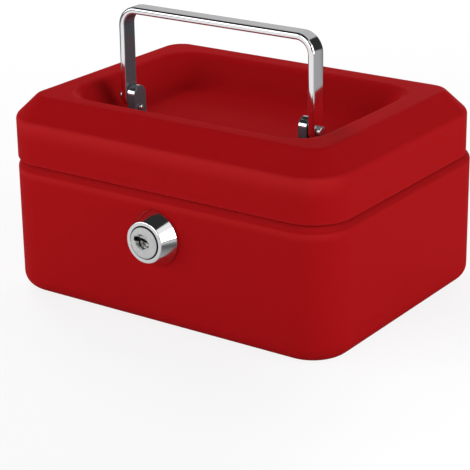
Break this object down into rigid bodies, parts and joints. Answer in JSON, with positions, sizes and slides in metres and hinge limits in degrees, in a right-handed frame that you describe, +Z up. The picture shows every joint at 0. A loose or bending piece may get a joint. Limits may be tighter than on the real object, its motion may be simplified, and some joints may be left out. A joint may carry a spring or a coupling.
{
  "type": "cash box",
  "caption": "Small steel cash box with a hinged bevelled lid, a recess for the fold-down bail handle, a cam lock in the front wall and a lift-out coin tray.",
  "frame": {"origin": "middle of the flat underside of the base", "axes": "+Z up, -Y out of the front wall with the lock, +X to the right of someone facing the lock"},
  "size_m": [0.152, 0.1271, 0.1122],
  "materials": {
    "red_paint": "fine-textured semi-matte powder coat",
    "black_plastic": "moulded satin",
    "plated_steel": "zinc plated",
    "polished_chrome": "polished",
    "satin_nickel": "satin turned face"
  },
  "bodies": {
    "base": {"base_shell": "red_paint", "coin_tray": "black_plastic", "hinge_leaf_lower": "plated_steel", "hinge_pin": "plated_steel", "hinge_rivets_lower": "plated_steel", "lock_housing": "polished_chrome", "lock_washer": "plated_steel", "lock_nut": "plated_steel"},
    "lid": {"lid_shell": "red_paint", "hinge_leaf_upper": "plated_steel", "hinge_rivets_upper": "plated_steel", "lock_strike": "plated_steel", "handle_lug_left": "polished_chrome", "handle_lug_right": "polished_chrome", "pivot_pin_left": "polished_chrome", "pivot_pin_right": "polished_chrome", "lug_cross_pin_left": "polished_chrome", "lug_cross_pin_right": "polished_chrome", "lug_screw_left": "plated_steel", "lug_screw_right": "plated_steel", "lug_washer_left": "plated_steel", "lug_washer_right": "plated_steel"},
    "handle": {"handle": "polished_chrome"},
    "lock_core": {"lock_plug": "satin_nickel", "lock_wafers": "satin_nickel", "lock_cam": "plated_steel", "cam_washer": "plated_steel", "cam_screw": "plated_steel"}
  },
  "joints": [
    {"name": "lid_hinge", "type": "hinge", "parent": "base", "child": "lid", "pos_m": [0, 0.0576, 0.0563], "axis": [-1, 0, 0], "range_deg": [0, 105]},
    {"name": "handle_fold", "type": "hinge", "parent": "lid", "child": "handle", "pos_m": [0, -0.0166, 0.0748], "axis": [-1, 0, 0], "range_deg": [-71, 90]},
    {"name": "lock_turn", "type": "hinge", "parent": "base", "child": "lock_core", "pos_m": [0, -0.054, 0.0369], "axis": [0, 1, 0], "range_deg": [0, 90]}
  ]
}
